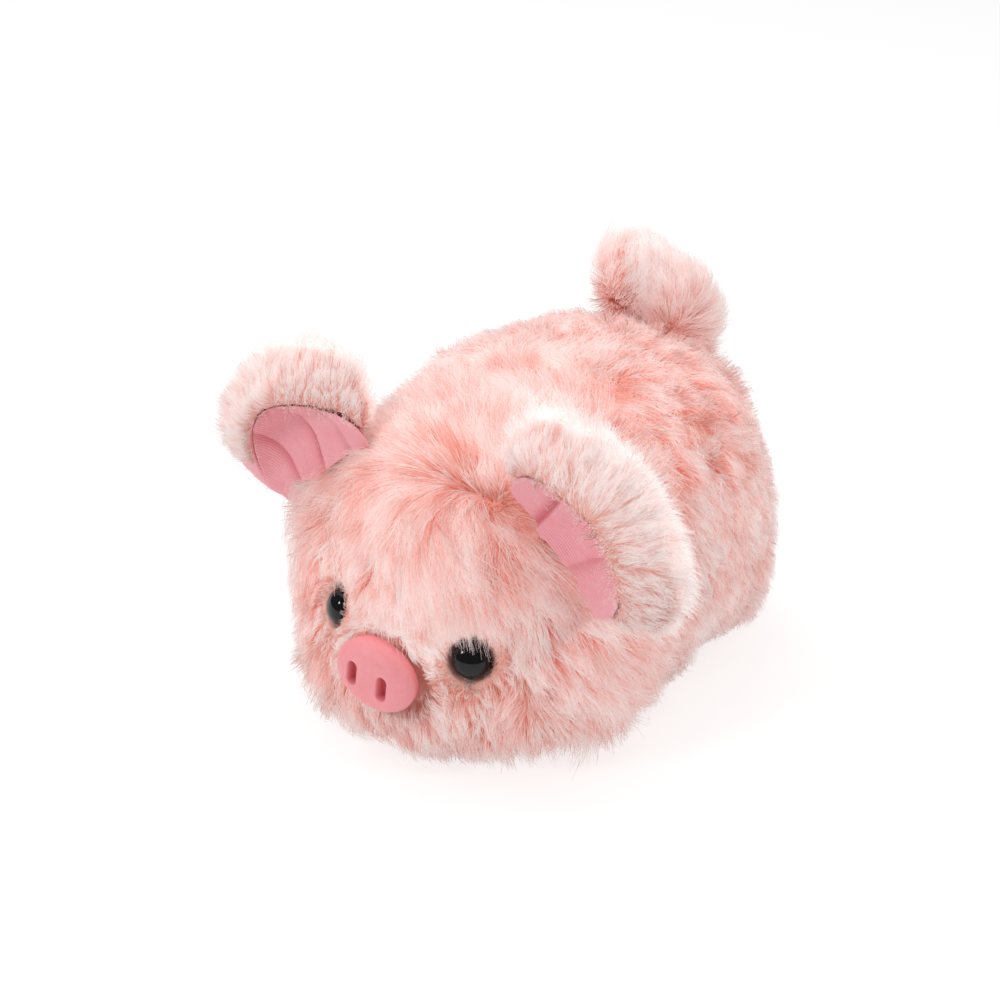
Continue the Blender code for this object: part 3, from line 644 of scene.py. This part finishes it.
earFur = {
    "sunk": 1.0, "reach": 10.0, "rise": 4.0, "rimRise": 7.3, "tone": 0.93, "middle": (48.4, -56.1, 83.8),
    "seat": (44.44, -54.0, 79.74), "base": (0.7145, 0, -0.6997), "upward": (0.6575, -0.3420, 0.6714),
    "behind": (0.2393, 0.9397, 0.2444)}
earStrands = {
    "Width": 0.28 * millimetre, "Lock Size": 3.0 * millimetre, "Lock Pull": 0.40, "Lock Turn": 0.25,
    "Tuft Size": 8 * millimetre, "Tuft Pull": 0.2, "Tuft Turn": 0.3, "Lock Tone": 0.10, "Fleck": 0.2, "Stray": 0.26}


def earPlaces(points, side):
    mirror = np.array([side, 1, 1])
    away = points / millimetre - np.array(earFur["seat"]) * mirror
    return [away @ (np.array(earFur[key]) * mirror) for key in ("base", "upward", "behind")]


def earFields(points, facing, side, liningTree):
    mirror = np.array([side, 1, 1])
    middle = np.array(earFur["middle"]) * mirror * millimetre
    gap = np.array([liningTree.find_nearest(Vector(point))[3] for point in points]) / millimetre
    across, upward, behind = earPlaces(points, side)
    backward = facing @ (np.array(earFur["behind"]) * mirror)
    rim = ease(0.75, 0.2, np.abs(backward))
    forward = ease(-0.35, -0.8, backward)
    flow = unit(alongSurface(points - middle, facing))
    flow = flow + drift(points, 12 * millimetre, 3) * 0.35 + drift(points, 5 * millimetre, 23) * 0.3
    flow = unit(alongSurface(flow, facing)) * (0.4 + 0.6 * ease(0.5, 3.0, gap))[:, None]
    low = ease(8.0, 0.0, upward)
    reach = earFur["reach"] * (1 - 0.45 * rim) * (1 - 0.6 * forward) * (1 - 0.3 * low)
    rise = earFur["rise"] + (earFur["rimRise"] - earFur["rise"]) * rim
    rise = rise * (1 - 0.35 * forward) * (1 - 0.55 * low)
    tone = earFur["tone"] + 0.10 * waver(points, 8 * millimetre, 12) - 0.06 * forward - 0.08 * low
    cover = np.maximum(ease(0.5, 1.1, gap), ease(0.0, 0.4, backward))
    if side < 0:
        turn = np.degrees(np.arctan2(across, upward))
        bare = ease(42.0, 52.0, turn) * ease(10.0, 15.0, across) * ease(0.95, 0.6, backward)
        cover = cover * (1 - bare)                                   # the lining shows at the end by the cheek
    return {"flow": flow, "outward": facing, "reach": reach * millimetre, "rise": rise * millimetre,
            "tone": np.clip(tone, 0.03, 0.97), "cover": cover, "sunk": earFur["sunk"] * ease(0.8, 4.0, gap)}


def makeLiningMaterial():
    material, tree, shader = addShader("earLining", 0.85, Sheen_Weight=0.35, Sheen_Roughness=0.4)
    spot = place(tree, 'ShaderNodeTexCoord', out='Object')
    turned = place(tree, 'ShaderNodeMapping', {'Vector': spot, 'Rotation': (0.2, 0.75, 0.1)})
    ribs = place(tree, 'ShaderNodeTexWave', {'Vector': turned, 'Scale': 400.0, 'Distortion': 1.2, 'Detail': 1.0},
                 out='Fac')
    shade, height = grain(tree, 2400.0, 130.0)
    mask = number(tree, 'ADD', number(tree, 'MULTIPLY', ribs, 0.25), number(tree, 'MULTIPLY', shade, 0.75))
    colour = ramp(tree, mask, [(0.25, (0.96, 0.34, 0.39)), (0.55, (0.98, 0.44, 0.49)), (0.8, (0.98, 0.54, 0.58))])
    # painted shade: the fold creases are mixed towards a dark crimson by the fold shade mask
    foldShade = place(tree, 'ShaderNodeAttribute', out='Fac', attribute_name="foldShade")
    colour = place(tree, 'ShaderNodeMix', {'Factor': foldShade, 6: colour, 7: (0.64, 0.08, 0.11, 1)}, out=2,
                   data_type='RGBA')
    tree.links.new(colour, shader.inputs["Base Color"])
    bump(tree, shader, number(tree, 'ADD', ribs, number(tree, 'MULTIPLY', height, 0.7)), 0.15 * millimetre)
    return material


liningMaterial = makeLiningMaterial()

# Folds as (start, end, height, step, spread) in mm across and up the ear: the cloth to one side of the line
# stands higher, falling back over the spread; the crease at its low side is coloured darker as painted shade
liningLook = {
    "left": [((-14, 28), (-9, -4), -2.0, 0.9, 9.0), ((12, 26), (4, -4), 0.9, 2.5, 7.0)],
    "right": [((-9, 26), (-2, 2), 2.6, 0.7, 9.0), ((9, 28), (13, -2), 1.5, 0.6, 12.0),
              ((-19, 20), (-16, 0), 0.9, 1.6, 6.0)]}


def liningFolds(points, side, folds):
    across, upward, behind = earPlaces(points, side)
    inside = ease(0.0, 5.0, upward + 5.4) * ease(29.0, 24.0, np.hypot(across, upward))
    height = np.zeros(len(points))
    paintedShade = np.zeros(len(points))
    for (startX, startY), (endX, endY), rise, step, spread in folds:
        length = math.hypot(endX - startX, endY - startY)
        away = ((across - startX) * (endY - startY) - (upward - startY) * (endX - startX)) / length
        away = away * math.copysign(1, rise)                         # positive on the raised side
        height += abs(rise) * ease(-step, step, away) * np.exp(-(np.maximum(away, 0) / spread) ** 2)
        # painted shade: the lining is coloured darker along the low side of each fold, more for taller folds
        crease = np.exp(-(np.minimum(away + 0.3, 0) / 2.6) ** 2) * ease(0.9, -0.3, away)
        paintedShade = np.maximum(paintedShade, crease * min(abs(rise) / 2.6, 1))
    return height * inside + 0.25 * waver(points, 5 * millimetre, 16), paintedShade * inside


def makeEar(label, side, seed):
    body = "ear_" + label
    liningTree = treeOf(body + "_lining")
    skin = remeshedCopy("cloth_" + body + "_back", body + "_back", 0.9 * millimetre, 5)
    points = places(skin.data)
    facing = normals(skin.data)
    fields = earFields(points, facing, side, liningTree)
    setPlaces(skin.data, points - facing * (fields["sunk"] * fields["cover"] * millimetre)[:, None])
    skin.data.materials.clear()
    skin.data.materials.append(backingMaterial)
    skin.data.materials.append(liningMaterial)
    for face in skin.data.polygons:
        face.material_index = int(np.mean(fields["cover"][list(face.vertices)]) < 0.4)
    values = dict(earStrands, Strands=18000, Seed=seed)
    growFur("fur_" + body, skin, fields, values, body)
    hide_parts(body + "_back")
    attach(skin, body)

    lining = mergedCopy("lining_" + body, body + "_lining")
    surface = lining.modifiers.new("round", 'SUBSURF')
    surface.levels = 3
    surface.render_levels = 3
    settle(lining)
    points = places(lining.data)
    height, paintedShade = liningFolds(points, side, liningLook[label])
    forward = -np.array(earFur["behind"]) * np.array([side, 1, 1])
    setPlaces(lining.data, points + forward * height[:, None] * millimetre)
    # the painted crease shade goes on the lining's points for its material
    giveValues(lining, "foldShade", paintedShade)
    lining.data.shade_smooth()
    lining.data.materials.clear()
    lining.data.materials.append(liningMaterial)
    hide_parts(body + "_lining")
    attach(lining, body)


makeEar("left", 1, 31)
makeEar("right", -1, 32)
print("ears made")


# Tail: a curled furred roll over its filling

tailFur = {
    "pressed": 0.55, "roots": [(-14.0, 65.0, 109.0), (10.0, 70.0, 105.0)], "rootSize": 7.0, "reach": 7.5, "rise": 5.6,
    "tone": 0.78, "rootTone": 0.52, "tufts": [((-18, 66, 112), 8, 4.0), ((-14, 68, 120), 8, 2.5)]}
tailStrands = {
    "Width": 0.30 * millimetre, "Lock Size": 3.0 * millimetre, "Lock Pull": 0.55, "Lock Turn": 0.5,
    "Tuft Size": 8 * millimetre, "Tuft Pull": 0.2, "Tuft Turn": 0.4, "Lock Tone": 0.2, "Stray": 0.35}


def makeTail():
    look = tailFur
    skin, outward, cover, crease = pressedSkin("cloth_tail_cover", "tail_cover", treeOf("tail_filling"),
                                               3.0 * millimetre, look["pressed"], treeOf(*bodyPanels))
    points = places(skin.data)
    flow = np.array([0, 0, 0.5]) + drift(points, 10 * millimetre, 4) * 0.4
    tone = look["tone"] + 0.15 * waver(points, 8 * millimetre, 13)
    for root in look["roots"]:                                       # the hair fans out from two coral roots
        away = points - np.array(root) * millimetre
        near = np.exp(-(np.linalg.norm(away, axis=1) / (2 * look["rootSize"] * millimetre)) ** 2)
        flow = flow + unit(away) * near[:, None] * 1.5
        tone = tone - look["rootTone"] * near ** 4
    flow = unit(alongSurface(flow, outward))
    rise = look["rise"] + tuftHeight(points, look["tufts"])
    fields = {"flow": flow, "outward": outward, "reach": np.full(len(points), look["reach"] * millimetre),
              "rise": rise * millimetre, "tone": np.clip(tone, 0.03, 0.97), "cover": cover}
    skin.data.materials.clear()
    skin.data.materials.append(backingMaterial)
    growFur("fur_tail", skin, fields, dict(tailStrands, Strands=12000, Seed=41), "tail")
    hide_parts("tail_cover")
    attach(skin, "tail")


makeTail()
print("tail made")


# Nose: a soft oval with two slots, coloured darker inside the slots as painted shade

noseLook = {
    "edge": 4.2, "bulge": 0.9, "steps": 120, "thickness": 8.5, "slotSpacing": 11.6, "slotWidth": 3.4,
    "slotHeight": 8.4, "slotDepth": 3.0, "slotEdge": 0.7}


def makeNoseMaterial():
    material, tree, shader = addShader("noseVinyl", 0.5, Subsurface_Weight=0.15, Subsurface_Scale=0.002)
    shade, height = grain(tree, 900.0, 160.0)
    # painted shade: the nostril slots are mixed towards a dark red by how deep in the slot a point lies
    depth = place(tree, 'ShaderNodeAttribute', out='Fac', attribute_name="hollowAndShade")
    front = ramp(tree, shade, [(0.3, (0.93, 0.31, 0.34)), (0.7, (0.97, 0.37, 0.40))])
    slotShadeColour = place(tree, 'ShaderNodeMix', {'Factor': depth, 6: front, 7: (0.60, 0.09, 0.11, 1)}, out=2,
                 data_type='RGBA')
    tree.links.new(slotShadeColour, shader.inputs["Base Color"])
    bump(tree, shader, height, 0.06 * millimetre, 0.6)
    return material


def makeNose():
    look = noseLook
    steps = look["steps"]
    grid = np.linspace(-1, 1, steps + 1)
    u, v = np.meshgrid(grid, grid, indexing='ij')
    x = u * np.sqrt(1 - v * v / 2)                                   # square to disc
    z = v * np.sqrt(1 - u * u / 2)
    radius = np.minimum(np.sqrt(x * x + z * z), 1)
    wide = snout["halfWidth"] / millimetre
    tall = snout["halfHeight"] / millimetre
    inward = (1 - radius) * tall
    edge = look["edge"]
    drop = np.where(inward < edge, edge - np.sqrt(np.maximum(edge ** 2 - (edge - inward) ** 2, 0)), 0)
    front = look["bulge"] * (1 - radius ** 2) - look["bulge"] - drop
    hollowAndShade = np.zeros_like(front)
    # the slot mask both cuts the nostrils in and carries their painted shade
    for side in (-1, 1):
        across = x * wide - side * look["slotSpacing"] / 2
        upright = np.maximum(np.abs(z * tall) - (look["slotHeight"] - look["slotWidth"]) / 2, 0)
        distance = np.sqrt(across ** 2 + upright ** 2) - look["slotWidth"] / 2
        hollowAndShade += 1 - ease(-look["slotEdge"], look["slotEdge"] / 2, distance)
    front = front - hollowAndShade * look["slotDepth"]
    turn = snout["roll"]
    points = []
    slotShadeMarks = []

    def addPoint(px, pz, depth, mark):
        side = px * math.cos(turn) - pz * math.sin(turn)
        rise = px * math.sin(turn) + pz * math.cos(turn)
        points.append((side * millimetre, snout["centre"][1] - depth * millimetre,
                       snout["centre"][2] + rise * millimetre))
        slotShadeMarks.append(mark)

    for i in range(steps + 1):
        for j in range(steps + 1):
            addPoint(x[i, j] * wide, z[i, j] * tall, front[i, j], hollowAndShade[i, j])
    for i in range(steps + 1):
        for j in range(steps + 1):
            addPoint(x[i, j] * wide * 0.96, z[i, j] * tall * 0.96, -look["thickness"], 0)
    size = steps + 1
    faces = []
    for i in range(steps):
        for j in range(steps):
            a = i * size + j
            faces.append((a, a + 1, a + size + 1, a + size))
            b = a + size * size
            faces.append((b + size, b + size + 1, b + 1, b))
    rim = [i * size for i in range(size)] + [steps * size + j for j in range(1, size)]
    rim += [i * size + steps for i in range(steps - 1, -1, -1)] + [j for j in range(steps - 1, 0, -1)]
    for first, second in zip(rim, rim[1:] + rim[:1]):
        faces.append((first, second, second + size * size, first + size * size))
    mesh = bpy.data.meshes.new("nose")
    mesh.from_pydata(points, [], faces)
    work = bmesh.new()
    work.from_mesh(mesh)
    bmesh.ops.recalc_face_normals(work, faces=work.faces)
    work.to_mesh(mesh)
    work.free()
    # the slot mask is kept on the points for the painted shade inside the nostrils
    marks = mesh.attributes.new("hollowAndShade", 'FLOAT', 'POINT')
    marks.data.foreach_set("value", np.clip(np.array(slotShadeMarks, dtype=np.float32), 0, 1))
    mesh.shade_smooth()
    mesh.materials.append(makeNoseMaterial())
    nose = addObject("nose", mesh)
    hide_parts("snout")
    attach(nose, "torso")


makeNose()


# Eyes: glossy domes on stems

def makeEyeMaterial():
    material, tree, shader = addShader(
        "blackGloss", 0.10, Specular_IOR_Level=0.12, Coat_Weight=0.4, Coat_Roughness=0.05)
    shade, height = grain(tree, 300.0, 80.0)
    colour = ramp(tree, shade, [(0.2, (0.006, 0.006, 0.007)), (0.8, (0.012, 0.011, 0.012))])
    tree.links.new(colour, shader.inputs["Base Color"])
    return material


eyeMaterial = makeEyeMaterial()


def turnedPiece(name, origin, axis, profile, sides):
    axis = Vector(axis).normalized()
    first = axis.orthogonal().normalized()
    second = axis.cross(first)
    work = bmesh.new()
    rings = []
    for radius, height in profile:
        ring = []
        for number in range(sides):
            angle = 2 * math.pi * number / sides
            ring.append(work.verts.new(Vector(origin) + axis * height
                                       + (first * math.cos(angle) + second * math.sin(angle)) * radius))
        rings.append(ring)
    for low, high in zip(rings, rings[1:]):
        for number in range(sides):
            after = (number + 1) % sides
            work.faces.new((low[number], low[after], high[after], high[number]))
    work.faces.new(rings[0][::-1])
    work.faces.new(rings[-1])
    bmesh.ops.recalc_face_normals(work, faces=work.faces)
    mesh = bpy.data.meshes.new(name)
    work.to_mesh(mesh)
    work.free()
    mesh.shade_smooth()
    return addObject(name, mesh)


def makeEye(label):
    eye = eyes[label]
    radius = eye["radius"]
    dome = eye["top"] - eye["flange"]
    stem = 2.2 * millimetre
    profile = [(stem * 0.6, 0.0), (stem, stem * 0.4), (stem, eye["flange"] - 0.8 * millimetre),
               (radius * 0.9, eye["flange"] - 0.75 * millimetre), (radius, eye["flange"])]
    for step in range(1, 17):
        angle = math.pi / 2 * step / 16.5
        profile.append((radius * math.cos(angle), eye["flange"] + dome * math.sin(angle)))
    piece = turnedPiece("eye_dome_" + label, eye["stemEnd"], eye["axis"], profile, 48)
    piece.data.materials.append(eyeMaterial)
    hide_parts("eye_" + label)
    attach(piece, "torso")


makeEye("left")
makeEye("right")


# Filling and washers inside

def makeFibreMaterial():
    material, tree, shader = addShader("whiteFibre", 1.0)
    shade, height = grain(tree, 700.0, 120.0)
    colour = ramp(tree, shade, [(0.3, (0.74, 0.73, 0.71)), (0.7, (0.88, 0.87, 0.85))])
    tree.links.new(colour, shader.inputs["Base Color"])
    bump(tree, shader, height, 0.5 * millimetre)
    return material


def makeWasherMaterial():
    material, tree, shader = addShader("clearPlastic", 0.35)
    shade, height = grain(tree, 500.0, 100.0)
    colour = ramp(tree, shade, [(0.3, (0.66, 0.67, 0.68)), (0.7, (0.74, 0.75, 0.76))])
    tree.links.new(colour, shader.inputs["Base Color"])
    return material


fibreMaterial = makeFibreMaterial()
for nodeName, body in (("head_filling", "torso"), ("body_filling", "torso"), ("tail_filling", "tail")):
    core = remeshedCopy("stuffing_" + nodeName, nodeName, 2.0 * millimetre if body == "torso" else 0.8 * millimetre, 4)
    points = places(core.data)
    lumps = waver(points, 9 * millimetre, 15)[:, None]
    setPlaces(core.data, points - normals(core.data) * (0.4 + 0.4 * lumps) * millimetre)
    core.data.materials.clear()
    core.data.materials.append(fibreMaterial)
    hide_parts(nodeName)
    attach(core, body)

washerMaterial = makeWasherMaterial()
for nodeName in ("snout_washer", "eye_left_washer", "eye_right_washer"):
    washer = nodes[nodeName]
    washer.data.materials.clear()
    washer.data.materials.append(washerMaterial)
print("nose, eyes and filling made")


# Floor, lights and camera

stageLook = {
    "floorWhite": 0.9, "shadowShare": 0.40, "worldLight": 0.56, "darkRoom": 0.9, "overheadWatts": 4.8,
    "softboxWatts": 2.0}


def makeFloor():
    mesh = bpy.data.meshes.new("floor")
    reach = 6.0
    mesh.from_pydata([(-reach, -reach, 0), (reach, -reach, 0), (reach, reach, 0), (-reach, reach, 0)], [], [(0, 1, 2, 3)])
    floor = addObject("floor", mesh)
    material = bpy.data.materials.new("paperFloor")
    material.use_nodes = True
    tree = material.node_tree
    tree.nodes.clear()
    end = tree.nodes.new('ShaderNodeOutputMaterial')
    paper = place(tree, 'ShaderNodeBsdfDiffuse', {'Color': (*[stageLook["floorWhite"]] * 3, 1)}, out='BSDF')
    pale = place(tree, 'ShaderNodeBsdfDiffuse', {'Color': (*[stageLook["shadowShare"]] * 3, 1)}, out='BSDF')
    glow = place(tree, 'ShaderNodeEmission', {'Color': (1, 1, 1, 1), 'Strength': 1 - stageLook["shadowShare"] * 0.80})
    seen = place(tree, 'ShaderNodeAddShader', {0: pale, 1: glow})
    path = tree.nodes.new('ShaderNodeLightPath')
    watched = number(tree, 'MAXIMUM', path.outputs["Is Camera Ray"], path.outputs["Is Glossy Ray"])
    watched = number(tree, 'MAXIMUM', watched, path.outputs["Is Transmission Ray"])
    mixed = place(tree, 'ShaderNodeMixShader', {0: watched, 1: paper, 2: seen})
    tree.links.new(mixed, end.inputs["Surface"])
    mesh.materials.append(material)


def makeWorld():
    world = bpy.data.worlds.new("studio")
    bpy.context.scene.world = world
    world.use_nodes = True
    tree = world.node_tree
    tree.nodes.clear()
    end = tree.nodes.new('ShaderNodeOutputWorld')
    path = tree.nodes.new('ShaderNodeLightPath')
    watched = number(tree, 'MAXIMUM', path.outputs["Is Camera Ray"], path.outputs["Is Transmission Ray"])
    strength = place(tree, 'ShaderNodeMix', {'Factor': watched, 2: stageLook["worldLight"], 3: 1.0}, out=0)
    dim = number(tree, 'SUBTRACT', 1.0, number(tree, 'MULTIPLY', path.outputs["Is Glossy Ray"],
                                               stageLook["darkRoom"]))       # the eyes mirror a dark studio
    strength = number(tree, 'MULTIPLY', strength, dim)
    glow = place(tree, 'ShaderNodeBackground', {'Color': (1, 1, 1, 1), 'Strength': strength})
    tree.links.new(glow, end.inputs["Surface"])


cameraLook = {
    "target": (-27.6, 16.0, 45.0), "azimuth": 36.5, "elevation": 28.0, "distance": 632.0, "lens": 64.8}


def makeCamera():
    azimuth = math.radians(cameraLook["azimuth"])
    elevation = math.radians(cameraLook["elevation"])
    back = Vector((math.sin(azimuth) * math.cos(elevation), -math.cos(azimuth) * math.cos(elevation),
                   math.sin(elevation)))
    target = Vector(cameraLook["target"]) * millimetre
    data = bpy.data.cameras.new("camera")
    data.lens = cameraLook["lens"]
    data.sensor_width = 36
    data.clip_start = 0.01
    camera = bpy.data.objects.new("camera", data)
    bpy.context.collection.objects.link(camera)
    camera.location = target + back * cameraLook["distance"] * millimetre
    camera.rotation_euler = back.to_track_quat('Z', 'Y').to_euler()
    bpy.context.scene.camera = camera
    right = Vector((math.cos(azimuth), math.sin(azimuth), 0))
    return target, back, right


def addLight(name, location, target, size, watts):
    data = bpy.data.lights.new(name, 'AREA')
    data.shape = 'SQUARE'
    data.size = size
    data.energy = watts
    light = bpy.data.objects.new(name, data)
    bpy.context.collection.objects.link(light)
    light.location = location
    light.rotation_euler = (location - target).to_track_quat('Z', 'Y').to_euler()


makeFloor()
makeWorld()
target, back, right = makeCamera()
up = back.cross(right)
addLight("overhead", target - right * 0.35 + up * 1.15 + back * 0.1, target, 0.9, stageLook["overheadWatts"])
addLight("softboxLeft", target - right * 0.69 + up * 0.31 + back * 0.66, target, 0.15, stageLook["softboxWatts"])
addLight("softboxRight", target + right * 0.76 + up * 0.35 + back * 0.55, target, 0.15, stageLook["softboxWatts"])
bpy.context.scene.view_settings.view_transform = 'Standard'
print("stage set")
